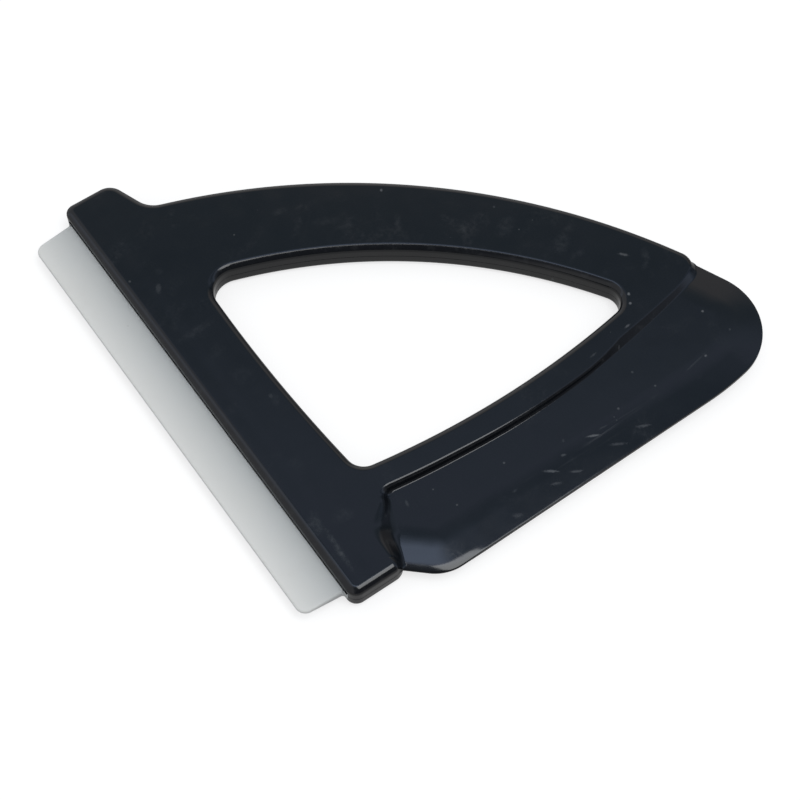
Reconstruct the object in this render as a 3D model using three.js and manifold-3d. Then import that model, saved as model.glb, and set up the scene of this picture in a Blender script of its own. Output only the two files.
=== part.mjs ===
// Hand-held ice scraper. A hollow triangular grip is moulded in two shells that meet at its mid-plane.
// The upper shell carries a bevelled scraping blade along one side of the grip. The bar along another
// side clamps the root of a soft wiper lip between the shells, and the lip's free blade bends about a
// line just outside the bar. Millimetres, +Z up, lying on the lower shell's flat face.

import * as THREE from 'three';
import { mergeVertices } from 'three/addons/utils/BufferGeometryUtils.js';
import Module from 'manifold-3d';

const wasm = await Module();
wasm.setup();

// Grip frame. X runs from the bar's lip face towards the tip, Y from the bar's foot to its head.
const FRAME_THICKNESS = 8; // face to face
const EDGE_RADIUS = 2; // rounding of the frame's edges
const WALL = 2.2; // shell wall round the hollow bar and handle
const BAR_LENGTH = 140.9; // foot to head
const BAR_CORNER_RADIUS = 3; // both corners beside the lip
const FOOT_WIDTH = 15.7; // bar's foot, measured to its sharp corner
const FOOT_RADIUS = 4; // rounding of that corner
const HEAD_WIDTH = 15.3; // bar's head, measured to its sharp corner
const HEAD_RADIUS = 5; // rounding of that corner
const HEEL_REACH = 23.7; // inner corner where the bar's foot turns into the rib
const HEEL_RISE = 20; // height of that corner above the foot
const HEEL_RADIUS = 5; // hollow rounding there
const TIP_REACH = 133; // sharp corner where the rib meets the handle
const TIP_RISE = 26; // height of that corner above the foot
const TIP_RADIUS = 4.5; // rounding of that corner
const SHOULDER_REACH = 20.1; // inner corner where the handle meets the bar's head
const SHOULDER_DROP = 12.7; // depth of that corner below the head
const SHOULDER_RADIUS = 7; // hollow rounding there
const HANDLE_BOW = 16.2; // rise of the handle's outer arc over its chord
const RIB_BOW = 5.9; // rise of the rib's outer arc over its chord

// Hand hole
const RIB_WIDTH = 7.9; // rib between the hole and the blade
const BAR_WIDTH_AT_FOOT = 21.2; // lip face to the hole's corner near the foot
const BAR_WIDTH_AT_HEAD = 19.4; // lip face to the hole's corner near the head
const HANDLE_WIDTH_AT_TIP = 19; // handle's outer arc to the hole's corner near the tip
const HANDLE_WIDTH_AT_HEAD = 26.6; // handle's outer arc to the hole's corner near the head
const GRIP_BOW = 11.7; // rise of the hole's long side over its chord
const BAR_BOW = 1.4; // rise of the hole's bar side over its chord
const HOLE_FOOT_RADIUS = 5; // rounding of the hole's three corners
const HOLE_TIP_RADIUS = 3.5;
const HOLE_HEAD_RADIUS = 4;

// Scraping blade
const BLADE_THICKNESS = 3; // flat part
const BLADE_EDGE = 1.2; // thickness left along the free edge
const BLADE_BEVEL = 9; // width of the bevel on both faces
const BLADE_DROP = 7.2; // scraping edge below the bar's foot
const BLADE_START = 7.8; // from the foot's corner to the scraping edge's near corner
const BLADE_START_RADIUS = 12; // rounding of that corner
const BLADE_LENGTH = 90.8; // straight scraping edge
const BLADE_RISE = 1.2; // how far the straight edge climbs along its length
const BLADE_BEND_RADIUS = 80; // gentle bend at the straight edge's far end
const BLADE_OVERHANG = 11.4; // sharp far corner beyond the tip
const BLADE_END_DROP = 1.2; // that corner below the bar's foot
const BLADE_END_RADIUS = 18; // rounding of that corner
const BLADE_RUN_ON = 5; // its outline carried on inside the frame, in bevel widths
const BLADE_RUN_ON_RADIUS = 2; // rounding of the two corners there, in bevel widths

// Wiper lip
const LIP_REACH = 12.2; // free edge beyond the bar's face
const LIP_START = 3.6; // lip's near end above the foot
const LIP_LENGTH = 133; // along the bar
const LIP_FLARE = 0.9; // how much shorter the free edge is at each end
const LIP_CORNER_RADIUS = 2.8; // corners of the free edge
const LIP_ROOT_THICKNESS = 2.4; // clamped root
const LIP_EDGE_THICKNESS = 1.2; // free edge
const LIP_ROOT_DEPTH = 8; // root inside the bar
const LIP_PIVOT = 1.8; // line the free blade bends about, beyond the bar's face

// Pins that locate the shells and hold the lip
const CLEARANCE = 0.3; // between pieces that fit into each other
const PIN_RADIUS = 1.5;
const LIP_PIN_COUNT = 5; // through the lip's root
const LIP_SOCKET_DEPTH = 1.2; // blind holes for those pins in the upper shell
const POST_RADIUS = 3.2; // stepped posts in the handle
const POST_COUNT = 3;

// Fineness of the facets
const CHORD_ERROR = 0.03; // how far a straight facet may leave a round outline
const SMALLEST_ROUNDING = 0.2;
const SIDE_SHARE = 0.95; // most of a side that the roundings at its two ends may take
const TIGHT_SHARE = 0.8; // most of that for the tighter one, where both don't fit
const FILLET_STEPS = 5;
const PIN_SIDES = 24;
const NEWTON_STEPS = 12;
const BEYOND = 1; // how far a cut runs past the face that it opens

const MID_PLANE = FRAME_THICKNESS / 2;
const LIP_END = LIP_START + LIP_LENGTH;
const LIP_HALF_ROOT = LIP_ROOT_THICKNESS / 2;
const SLOT_HALF_HEIGHT = LIP_HALF_ROOT + CLEARANCE;

function place(x, y) {
  return new THREE.Vector2(x, y);
}

// A side runs from one point to the next, anticlockwise round its outline. A bow above zero bulges
// out of the outline, and one below zero bulges into it.
function makeSide(from, to, bow = 0) {
  const along = to.clone().sub(from);
  const chord = along.length();
  const inward = place(-along.y, along.x).divideScalar(chord);
  if (bow === 0) return { from, inward };
  const radius = (chord * chord / 4 + bow * bow) / (2 * Math.abs(bow));
  const sense = Math.sign(bow);
  const centre = from.clone().lerp(to, 0.5).addScaledVector(inward, sense * radius - bow);
  return { from, inward, centre, radius, sense };
}

// Rise of an arc of a given radius over the chord between two points
function arcRise(radius, from, to) {
  const half = from.distanceTo(to) / 2;
  return radius - Math.sqrt(radius * radius - half * half);
}

// How deep a point lies inside a side, and the direction in which that depth grows
function depthInside(side, point) {
  const spoke = point.clone().sub(side.centre ?? side.from);
  if (!side.centre) return { depth: spoke.dot(side.inward), grows: side.inward };
  const length = spoke.length();
  const depth = side.sense * (side.radius - length);
  return { depth, grows: spoke.multiplyScalar(-side.sense / length) };
}

// The point at given depths inside two sides, found by Newton's method from a point near it
function crossing(first, firstDepth, second, secondDepth, near) {
  const point = near.clone();
  for (let step = 0; step < NEWTON_STEPS; step += 1) {
    const a = depthInside(first, point);
    const b = depthInside(second, point);
    const spread = a.grows.cross(b.grows);
    const missA = firstDepth - a.depth;
    const missB = secondDepth - b.depth;
    point.x += (missA * b.grows.y - missB * a.grows.y) / spread;
    point.y += (missB * a.grows.x - missA * b.grows.x) / spread;
  }
  return point;
}

// The point reached by going on past the second of two points
function carriedOn(from, through, distance) {
  return through.clone().addScaledVector(through.clone().sub(from).normalize(), distance);
}

function turnBetween(a, b) {
  return Math.atan2(a.cross(b), a.dot(b));
}

function arcPoints(centre, radius, start, sweep) {
  const largestStep = 2 * Math.acos(1 - CHORD_ERROR / radius);
  const steps = Math.max(1, Math.ceil(Math.abs(sweep) / largestStep));
  return Array.from({ length: steps + 1 }, (_, i) => {
    const angle = start + sweep * i / steps;
    return place(centre.x + radius * Math.cos(angle), centre.y + radius * Math.sin(angle));
  });
}

// A corner of an outline: its place, its rounding and the bow of the side that follows it
function corner(at, radius, bow = 0) {
  return { at, radius, bow };
}

function sidesOf(corners) {
  return corners.map(({ at, bow }, i) => makeSide(at, corners[(i + 1) % corners.length].at, bow));
}

// The signed angle by which an outline turns at a corner, above zero where the corner stands out
function turnAt(before, after, at) {
  return turnBetween(depthInside(before, at).grows, depthInside(after, at).grows);
}

// Roundings that would meet along a side shrink until they fit on it, the gentler one first
function fittedRadii(corners, sides) {
  const radii = corners.map(({ radius }) => radius);
  const runs = corners.map(({ at }, i) => Math.tan(Math.abs(turnAt(sides.at(i - 1), sides[i], at)) / 2));
  corners.forEach(({ at }, i) => {
    const next = (i + 1) % corners.length;
    const room = SIDE_SHARE * at.distanceTo(corners[next].at);
    if (radii[i] * runs[i] + radii[next] * runs[next] <= room) return;
    const [tight, gentle] = radii[i] < radii[next] ? [i, next] : [next, i];
    radii[tight] = Math.min(radii[tight], TIGHT_SHARE * room / runs[tight]);
    radii[gentle] = (room - radii[tight] * runs[tight]) / runs[gentle];
  });
  return radii;
}

// Points round an outline whose corners are listed anticlockwise, shrunk by an inset
function outline(corners, inset = 0) {
  const sides = sidesOf(corners);
  const radii = fittedRadii(corners, sides);
  const roundings = corners.map(({ at }, i) => {
    const before = sides.at(i - 1);
    const after = sides[i];
    const sense = Math.sign(turnAt(before, after, at));
    const rounding = Math.max(radii[i] - sense * inset, SMALLEST_ROUNDING);
    const depth = inset + sense * rounding;
    const centre = crossing(before, depth, after, depth, at);
    const arriving = depthInside(before, centre).grows.clone().multiplyScalar(-sense);
    const leaving = depthInside(after, centre).grows.clone().multiplyScalar(-sense);
    return arcPoints(centre, rounding, arriving.angle(), turnBetween(arriving, leaving));
  });
  return roundings.flatMap((arc, i) => {
    const { centre } = sides[i];
    if (!centre) return arc;
    const leaving = arc.at(-1).clone().sub(centre);
    const arriving = roundings[(i + 1) % roundings.length][0].clone().sub(centre);
    const run = arcPoints(centre, leaving.length(), leaving.angle(), turnBetween(leaving, arriving));
    return [...arc, ...run.slice(1, -1)];
  });
}

function solidOf(geometry) {
  geometry.deleteAttribute('normal');
  geometry.deleteAttribute('uv');
  const merged = mergeVertices(geometry);
  return new wasm.Manifold(new wasm.Mesh({
    numProp: 3,
    vertProperties: Float32Array.from(merged.attributes.position.array),
    triVerts: Uint32Array.from(merged.index.array),
  }));
}

// An upright prism. An edge takes material off its top and bottom rims over a width and a height.
function prism(points, low, high, { holes = [], edge = { width: 0, height: 0, steps: 0 } } = {}) {
  const shape = new THREE.Shape(points);
  shape.holes = holes.map((hole) => new THREE.Path(hole));
  const geometry = new THREE.ExtrudeGeometry(shape, {
    depth: high - low - 2 * edge.height,
    bevelEnabled: edge.steps > 0,
    bevelThickness: edge.height,
    bevelSize: edge.width,
    bevelOffset: -edge.width,
    bevelSegments: edge.steps,
  });
  return solidOf(geometry.translate(0, 0, low + edge.height));
}

function block(lowX, highX, lowY, highY, low, high) {
  const geometry = new THREE.BoxGeometry(highX - lowX, highY - lowY, high - low);
  return solidOf(geometry.translate((lowX + highX) / 2, (lowY + highY) / 2, (low + high) / 2));
}

function roundPin(at, radius, low, high) {
  const geometry = new THREE.CylinderGeometry(radius, radius, high - low, PIN_SIDES);
  return solidOf(geometry.rotateX(Math.PI / 2).translate(at.x, at.y, (low + high) / 2));
}

// The frame's corners, anticlockwise from the corner between the lip face and the foot
const foot = place(FOOT_WIDTH, 0);
const heel = place(HEEL_REACH, HEEL_RISE);
const tip = place(TIP_REACH, TIP_RISE);
const shoulder = place(SHOULDER_REACH, BAR_LENGTH - SHOULDER_DROP);
const frameCorners = [
  corner(place(0, 0), BAR_CORNER_RADIUS),
  corner(foot, FOOT_RADIUS),
  corner(heel, HEEL_RADIUS, RIB_BOW),
  corner(tip, TIP_RADIUS, HANDLE_BOW),
  corner(shoulder, SHOULDER_RADIUS),
  corner(place(HEAD_WIDTH, BAR_LENGTH), HEAD_RADIUS),
  corner(place(0, BAR_LENGTH), BAR_CORNER_RADIUS),
];
const [footEnd, heelSide, ribSide, handleSide, , , lipFace] = sidesOf(frameCorners);

// The hole keeps its widths from the lip face, the rib and the handle
const holeFoot = crossing(lipFace, BAR_WIDTH_AT_FOOT, ribSide, RIB_WIDTH, heel);
const holeTip = crossing(ribSide, RIB_WIDTH, handleSide, HANDLE_WIDTH_AT_TIP, tip);
const holeHead = crossing(handleSide, HANDLE_WIDTH_AT_HEAD, lipFace, BAR_WIDTH_AT_HEAD, shoulder);
const holeCorners = [
  corner(holeFoot, HOLE_FOOT_RADIUS, arcRise(ribSide.radius - RIB_WIDTH, holeFoot, holeTip)),
  corner(holeTip, HOLE_TIP_RADIUS, GRIP_BOW),
  corner(holeHead, HOLE_HEAD_RADIUS, BAR_BOW),
];

// The blade's outline runs on far inside the frame, where the blade's tongue is cut from it
const tongueDepth = RIB_WIDTH - WALL - CLEARANCE;
const bladeStart = place(FOOT_WIDTH + BLADE_START, -BLADE_DROP);
const bladeBend = place(bladeStart.x + BLADE_LENGTH, bladeStart.y + BLADE_RISE);
const bladeEnd = place(TIP_REACH + BLADE_OVERHANG, -BLADE_END_DROP);
const runOnRadius = BLADE_RUN_ON_RADIUS * BLADE_BEVEL;
const bladeCorners = [
  corner(bladeStart, BLADE_START_RADIUS),
  corner(bladeBend, BLADE_BEND_RADIUS),
  corner(bladeEnd, BLADE_END_RADIUS),
  corner(carriedOn(bladeEnd, tip, BLADE_RUN_ON * BLADE_BEVEL), runOnRadius),
  corner(carriedOn(bladeStart, foot, BLADE_RUN_ON * BLADE_BEVEL), runOnRadius),
];

// The tongue's zone follows the rib and the bar's foot inside the frame and is open outside it
const zoneBeyond = BLADE_DROP + BLADE_RISE + BLADE_OVERHANG + BLADE_BEVEL;
const zoneHeel = crossing(heelSide, tongueDepth, ribSide, tongueDepth, heel);
const zoneTip = crossing(ribSide, tongueDepth, handleSide, -zoneBeyond, tip);
const zoneCorners = [
  corner(crossing(heelSide, tongueDepth, footEnd, -zoneBeyond, foot), SMALLEST_ROUNDING),
  corner(place(zoneTip.x, -zoneBeyond), SMALLEST_ROUNDING),
  corner(zoneTip, SMALLEST_ROUNDING, -arcRise(ribSide.radius - tongueDepth, zoneHeel, zoneTip)),
  corner(zoneHeel, SMALLEST_ROUNDING),
];

const bladeLow = MID_PLANE - BLADE_THICKNESS / 2;
const bladeHigh = MID_PLANE + BLADE_THICKNESS / 2;
const bladeBevel = { width: BLADE_BEVEL, height: (BLADE_THICKNESS - BLADE_EDGE) / 2, steps: 1 };
const blade = prism(outline(bladeCorners), bladeLow, bladeHigh, { edge: bladeBevel })
  .intersect(prism(outline(zoneCorners), bladeLow, bladeHigh));
const bladeSeat = prism(outline(bladeCorners, -CLEARANCE), bladeLow, FRAME_THICKNESS)
  .intersect(prism(outline(zoneCorners, -CLEARANCE), bladeLow, FRAME_THICKNESS));

// The whole frame, its hollow and the slot for the lip's root, before the shells are parted
const edgeRadius = Math.min(EDGE_RADIUS, MID_PLANE - WALL / 2);
const wholeFrame = prism(outline(frameCorners), 0, FRAME_THICKNESS, {
  holes: [outline(holeCorners)],
  edge: { width: edgeRadius, height: edgeRadius, steps: FILLET_STEPS },
});
const jawDepth = LIP_ROOT_DEPTH + CLEARANCE + WALL;
const hollowRing = { holes: [outline(holeCorners, -WALL)] };
const hollow = prism(outline(frameCorners, WALL), WALL, FRAME_THICKNESS - WALL, hollowRing)
  .subtract(prism(outline(zoneCorners, -WALL), 0, FRAME_THICKNESS))
  .subtract(block(0, jawDepth, 0, BAR_LENGTH, 0, FRAME_THICKNESS));
const slot = block(
  -BEYOND,
  LIP_ROOT_DEPTH + CLEARANCE,
  LIP_START - CLEARANCE,
  LIP_END + CLEARANCE,
  MID_PLANE - SLOT_HALF_HEIGHT,
  MID_PLANE + SLOT_HALF_HEIGHT,
);
const hollowFrame = wholeFrame.subtract(hollow).subtract(slot);
const lowerHalf = block(
  -BEYOND,
  TIP_REACH + BEYOND,
  -BEYOND,
  BAR_LENGTH + BEYOND,
  -BEYOND,
  MID_PLANE,
);

// Pins stand in a row through the lip's root, and posts along the middle of the handle
const lipPins = Array.from({ length: LIP_PIN_COUNT }, (_, i) => (
  place(LIP_ROOT_DEPTH / 2, LIP_START + LIP_LENGTH * (i + 0.5) / LIP_PIN_COUNT)
));
const handleStart = tip.clone().sub(handleSide.centre);
const handleSweep = turnBetween(handleStart, shoulder.clone().sub(handleSide.centre));
const postArcRadius = handleSide.radius - HANDLE_WIDTH_AT_TIP / 2;
const posts = Array.from({ length: POST_COUNT }, (_, i) => {
  const spoke = handleStart.clone().rotateAround(place(0, 0), handleSweep * (i + 0.5) / POST_COUNT);
  return handleSide.centre.clone().addScaledVector(spoke.normalize(), postArcRadius);
});
const lipSocketTop = MID_PLANE + SLOT_HALF_HEIGHT + LIP_SOCKET_DEPTH;

function makeUpperShell() {
  let shell = hollowFrame.subtract(lowerHalf).add(blade);
  for (const at of posts) {
    const boss = roundPin(at, POST_RADIUS, MID_PLANE, FRAME_THICKNESS - WALL / 2);
    const socket = roundPin(at, PIN_RADIUS + CLEARANCE, 0, FRAME_THICKNESS - WALL);
    shell = shell.add(boss).subtract(socket);
  }
  for (const at of lipPins) {
    shell = shell.subtract(roundPin(at, PIN_RADIUS + CLEARANCE, MID_PLANE, lipSocketTop));
  }
  return shell;
}

function makeLowerShell() {
  let shell = hollowFrame.intersect(lowerHalf).subtract(bladeSeat);
  for (const at of posts) {
    shell = shell.add(roundPin(at, POST_RADIUS, WALL / 2, MID_PLANE));
    shell = shell.add(roundPin(at, PIN_RADIUS, WALL / 2, FRAME_THICKNESS - WALL - CLEARANCE));
  }
  for (const at of lipPins) {
    shell = shell.add(roundPin(at, PIN_RADIUS, WALL / 2, lipSocketTop - CLEARANCE));
  }
  return shell;
}

// The root's outer end stops short of the free blade's round end
function makeLipRoot() {
  const outerEnd = LIP_HALF_ROOT + CLEARANCE - LIP_PIVOT;
  let root = block(
    outerEnd,
    LIP_ROOT_DEPTH,
    LIP_START,
    LIP_END,
    MID_PLANE - LIP_HALF_ROOT,
    MID_PLANE + LIP_HALF_ROOT,
  );
  for (const at of lipPins) {
    root = root.subtract(roundPin(at, PIN_RADIUS + CLEARANCE, 0, FRAME_THICKNESS));
  }
  return root;
}

// The free blade tapers to its edge and has a round end about the line that it bends about
function makeLipBlade() {
  const section = new THREE.Shape();
  section.moveTo(-LIP_REACH, LIP_EDGE_THICKNESS / 2);
  section.lineTo(-LIP_REACH, -LIP_EDGE_THICKNESS / 2);
  section.absarc(-LIP_PIVOT, 0, LIP_HALF_ROOT, -Math.PI / 2, Math.PI / 2);
  const strip = new THREE.ExtrudeGeometry(section, {
    depth: LIP_LENGTH,
    bevelEnabled: false,
    curveSegments: FILLET_STEPS,
  });
  const plan = [
    corner(place(-LIP_REACH, LIP_START + LIP_FLARE), LIP_CORNER_RADIUS),
    corner(place(0, LIP_START), SMALLEST_ROUNDING),
    corner(place(0, LIP_END), SMALLEST_ROUNDING),
    corner(place(-LIP_REACH, LIP_END - LIP_FLARE), LIP_CORNER_RADIUS),
  ];
  return solidOf(strip.rotateX(Math.PI / 2).translate(0, LIP_END, MID_PLANE))
    .intersect(prism(outline(plan), 0, FRAME_THICKNESS));
}

function meshOf(name, solid, material) {
  const { vertProperties, triVerts } = solid.getMesh();
  const geometry = new THREE.BufferGeometry();
  geometry.setAttribute('position', new THREE.BufferAttribute(vertProperties, 3));
  geometry.setIndex(new THREE.BufferAttribute(triVerts, 1));
  geometry.computeVertexNormals();
  const mesh = new THREE.Mesh(geometry, material);
  mesh.name = name;
  return mesh;
}

const blackPlastic = new THREE.MeshStandardMaterial({ color: 0x14171c, roughness: 0.22, metalness: 0 });
const clearRubber = new THREE.MeshStandardMaterial({ color: 0xdfe3e1, roughness: 0.45, metalness: 0 });

const scraper = new THREE.Group();
scraper.add(
  meshOf('upper_shell', makeUpperShell(), blackPlastic),
  meshOf('lower_shell', makeLowerShell(), blackPlastic),
  meshOf('wiper_lip_root', makeLipRoot(), clearRubber),
  meshOf('wiper_lip_blade', makeLipBlade(), clearRubber),
);

// The origin is under the middle of the whole scraper, on the face that it lies on
const extent = new THREE.Box3().setFromObject(scraper);
const middle = extent.getCenter(new THREE.Vector3());
scraper.position.set(-middle.x, -middle.y, -extent.min.z);

const part = new THREE.Group();
part.add(scraper);
export default part;
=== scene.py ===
import math

import bpy
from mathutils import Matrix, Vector


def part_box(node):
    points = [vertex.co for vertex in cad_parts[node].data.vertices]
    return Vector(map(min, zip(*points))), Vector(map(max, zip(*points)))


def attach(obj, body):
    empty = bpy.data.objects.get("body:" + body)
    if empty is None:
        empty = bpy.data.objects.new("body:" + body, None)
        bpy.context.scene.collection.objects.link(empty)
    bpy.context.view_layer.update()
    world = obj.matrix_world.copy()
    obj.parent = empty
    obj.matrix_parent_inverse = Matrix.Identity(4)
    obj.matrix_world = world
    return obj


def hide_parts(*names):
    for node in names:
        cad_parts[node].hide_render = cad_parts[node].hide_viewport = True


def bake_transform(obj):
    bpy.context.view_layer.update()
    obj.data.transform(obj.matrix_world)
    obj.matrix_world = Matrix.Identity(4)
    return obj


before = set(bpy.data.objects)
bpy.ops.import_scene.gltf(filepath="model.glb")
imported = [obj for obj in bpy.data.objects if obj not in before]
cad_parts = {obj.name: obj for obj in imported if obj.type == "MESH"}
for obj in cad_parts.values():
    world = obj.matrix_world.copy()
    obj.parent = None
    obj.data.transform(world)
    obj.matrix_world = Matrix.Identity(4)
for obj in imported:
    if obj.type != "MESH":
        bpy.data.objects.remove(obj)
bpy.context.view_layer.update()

mm = 0.001
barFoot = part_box("lower_shell")[0]  # the bar's corner at its foot, beside the lip
arcError = 0.004  # mm, how far a drawn arc may leave the true one
coarseTurn = 1.0  # radians, longest step of any rounding
fineTurn = math.radians(1.5)  # longest step of a rounding along which the profile changes
mergeGap = 0.01  # mm, vertices closer than this become one
nearLine = 0.02  # mm, a point this close to a line lies on it
sharpFrom = math.radians(30)  # edges that turn more than this stay sharp


# Plan places are in mm from the bar's foot, and levels in mm above the table.
def inFrame(point, level):
    return Vector((barFoot.x + point[0] * mm, barFoot.y + point[1] * mm, level * mm))


def inPlan(place):
    return Vector(((place.x - barFoot.x) / mm, (place.y - barFoot.y) / mm))


def leaveEdit():
    bpy.ops.object.mode_set(mode="OBJECT")


def activate(piece):
    if bpy.context.object and bpy.context.object.mode != "OBJECT":
        leaveEdit()
    bpy.ops.object.select_all(action="DESELECT")
    piece.select_set(True)
    bpy.context.view_layer.objects.active = piece


def editAll(piece):
    activate(piece)
    bpy.ops.object.mode_set(mode="EDIT")
    bpy.ops.mesh.select_mode(type="VERT")
    bpy.ops.mesh.select_all(action="SELECT")


def faceOutwards(piece):
    editAll(piece)
    bpy.ops.mesh.normals_make_consistent(inside=False)
    leaveEdit()


def pick(piece, kind, test):  # selects faces, edges or vertices in code and leaves edit mode on
    activate(piece)
    bpy.ops.object.mode_set(mode="EDIT")
    bpy.ops.mesh.select_mode(type=kind)
    bpy.ops.mesh.select_all(action="DESELECT")
    leaveEdit()
    parts = {"VERT": piece.data.vertices, "EDGE": piece.data.edges, "FACE": piece.data.polygons}
    for part in parts[kind]:
        part.select = test(part)
    bpy.ops.object.mode_set(mode="EDIT")


def finishModifier(piece, kind, **settings):
    activate(piece)
    modifier = piece.modifiers.new(kind.title(), kind)
    for key, value in settings.items():
        setattr(modifier, key, value)
    bpy.ops.object.modifier_apply(modifier=modifier.name)


def cutOrAdd(piece, other, operation, keepOther=False):
    finishModifier(piece, "BOOLEAN", object=other, operation=operation, solver="EXACT")
    if not keepOther:
        bpy.data.objects.remove(other)


def smooth(low, high, value):
    t = min(1.0, max(0.0, (value - low) / (high - low)))
    return t * t * (3 - 2 * t)


def turnBetween(a, b):
    return math.atan2(a.x * b.y - a.y * b.x, a.dot(b))


def makeSide(start, end, bow=0.0):
    along = end - start
    inward = Vector((-along.y, along.x)) / along.length
    side = {"start": start, "inward": inward, "centre": None}
    if bow:
        side["radius"] = (along.length ** 2 / 4 + bow ** 2) / (2 * abs(bow))
        side["sense"] = math.copysign(1, bow)
        side["centre"] = (start + end) / 2 + inward * (side["sense"] * side["radius"] - bow)
    return side


def depthInside(side, point):  # how deep a point is inside a side, and where that grows
    if side["centre"] is None:
        return (point - side["start"]).dot(side["inward"]), side["inward"]
    spoke = point - side["centre"]
    return side["sense"] * (side["radius"] - spoke.length), spoke.normalized() * -side["sense"]


def crossing(first, firstDepth, second, secondDepth, near):  # the point at both depths
    point = near.copy()
    for _ in range(12):  # each round comes closer
        a, growA = depthInside(first, point)
        b, growB = depthInside(second, point)
        spread = growA.x * growB.y - growA.y * growB.x
        a, b = firstDepth - a, secondDepth - b
        point.x += (a * growB.y - b * growA.y) / spread
        point.y += (b * growA.x - a * growB.x) / spread
    return point


def sidesOf(corners):  # a corner is its place, its rounding and the bow of the side after it
    ends = [Vector(c[0]) for c in corners]
    return [makeSide(ends[i], ends[(i + 1) % len(ends)], c[2]) for i, c in enumerate(corners)]


def roundingsOf(corners):
    sides, made = sidesOf(corners), []
    for i, (place, radius, _) in enumerate(corners):
        before, after, at = sides[i - 1], sides[i], Vector(place)
        turn = turnBetween(depthInside(before, at)[1], depthInside(after, at)[1])
        sense = math.copysign(1, turn)
        centre = crossing(before, sense * radius, after, sense * radius, at)
        arrive = depthInside(before, centre)[1] * -sense * radius
        leave = depthInside(after, centre)[1] * -sense * radius
        ends = {"start": centre + arrive, "end": centre + leave}
        made.append({"centre": centre, "radius": radius, **ends})
    return sides, made


def arcSteps(centre, start, end, longest=coarseTurn):
    turn = min(longest, 2 * math.acos(1 - arcError / (start - centre).length))
    return max(2, math.ceil(abs(turnBetween(start - centre, end - centre)) / turn))


def spinPen(centre, start, end, level, steps):
    sweep = turnBetween(start - centre, end - centre)
    bpy.ops.mesh.spin(steps=steps, angle=-sweep, center=inFrame(centre, level), axis=(0, 0, 1))


def stepsOf(corners, fineCorners=()):  # how many steps each rounding and each bowed side takes
    sides, roundings = roundingsOf(corners)
    counts = []
    for i, rounding in enumerate(roundings):
        longest = fineTurn if i in fineCorners else coarseTurn
        counts.append(arcSteps(rounding["centre"], rounding["start"], rounding["end"], longest))
        if sides[i]["centre"] is not None:
            following = roundings[(i + 1) % len(roundings)]["start"]
            counts.append(arcSteps(sides[i]["centre"], rounding["end"], following))
    return counts


def drawOutline(name, corners, level, steps=None, pieces=None):  # one vertex, spun and extruded round
    sides, roundings = roundingsOf(corners)
    counts = list(steps or stepsOf(corners))
    bpy.ops.object.select_all(action="DESELECT")
    bpy.ops.mesh.primitive_plane_add(size=mm)
    piece = bpy.context.object
    piece.name = piece.data.name = name
    bpy.ops.object.mode_set(mode="EDIT")
    bpy.ops.mesh.select_all(action="SELECT")
    bpy.ops.mesh.merge(type="CENTER")
    bpy.ops.mesh.select_all(action="SELECT")
    bpy.ops.transform.translate(value=inFrame(roundings[0]["start"], level))
    for i, rounding in enumerate(roundings):
        following = roundings[(i + 1) % len(roundings)]
        spinPen(rounding["centre"], rounding["start"], rounding["end"], level, counts.pop(0))
        if sides[i]["centre"] is None:
            count = (pieces or {}).get(i, 2)  # a straight side has a vertex at its middle or more
            run = (following["start"] - rounding["end"]) * mm / count
            for _ in range(count):
                bpy.ops.mesh.extrude_region_move(TRANSFORM_OT_translate={"value": (run.x, run.y, 0)})
        else:
            spinPen(sides[i]["centre"], rounding["end"], following["start"], level, counts.pop(0))
    bpy.ops.mesh.select_all(action="SELECT")
    bpy.ops.mesh.remove_doubles(threshold=mergeGap * mm)
    leaveEdit()
    return piece


def raiseFaces(piece, height):
    editAll(piece)
    bpy.ops.mesh.edge_face_add()
    bpy.ops.mesh.extrude_region_move(TRANSFORM_OT_translate={"value": (0, 0, height * mm)})
    faceOutwards(piece)


# Camera, at the photograph's angle.
photoView = {
    "target": (42.369, 40.218),
    "level": 4.0,
    "azimuth": math.radians(-35.167),
    "elevation": math.radians(61.0),
    "distance": 481.84,
    "lens": 83.26,
    "sensor": 36.0,
}
cameraData = bpy.data.cameras.new("photoCamera")
cameraData.lens = photoView["lens"]
cameraData.sensor_width = photoView["sensor"]
camera = bpy.data.objects.new("photoCamera", cameraData)
bpy.context.scene.collection.objects.link(camera)
bpy.context.scene.camera = camera
azimuth, elevation = photoView["azimuth"], photoView["elevation"]
cameraRight = Vector((math.cos(azimuth), math.sin(azimuth), 0))
cameraAhead = Vector((-math.sin(azimuth), math.cos(azimuth), 0))
back = cameraAhead * -math.cos(elevation) + Vector((0, 0, math.sin(elevation)))
target = inFrame(photoView["target"], photoView["level"])
camera.location = target + back * photoView["distance"] * mm
camera.rotation_euler = back.to_track_quat("Z", "Y").to_euler()
print("camera placed")

# Grip: two shells that meet at the mid-plane.
grip = {
    "thickness": 8.0,
    "edgeRadius": 2.0,
    "seamChamfer": 0.14,
    "filletSegments": 10,
    "foot": (15.7, 0.0),
    "heel": (23.7, 20.0),
    "tip": (133.0, 26.0),
    "shoulder": (20.1, 128.2),
    "head": (15.3, 140.9),
    "barRadius": 3.0,  # roundings of the outline's corners
    "footRadius": 4.0,
    "heelRadius": 3.0,
    "tipRadius": 5.5,
    "shoulderRadius": 7.0,
    "headRadius": 5.0,
    "ribBow": 5.9,
    "handleBow": 16.2,
    "ribWidth": 7.9,
    "barWidths": (21.2, 19.4),  # at the hole's foot corner and head corner
    "handleWidths": (19.0, 26.6),  # at the hole's tip corner and head corner
    "gripBow": 11.7,
    "barBow": 1.4,
    "holeRadii": (5.0, 4.8, 6.6),  # at its foot, tip and head corners
    "spokes": (0.0, 25.0, 77.0, 105.0),  # where the ring's flat faces part, at half the bar's length
    "spokeReach": 12.0,  # how far a spoke's end may lie from there
}
midPlane = grip["thickness"] / 2
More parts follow.
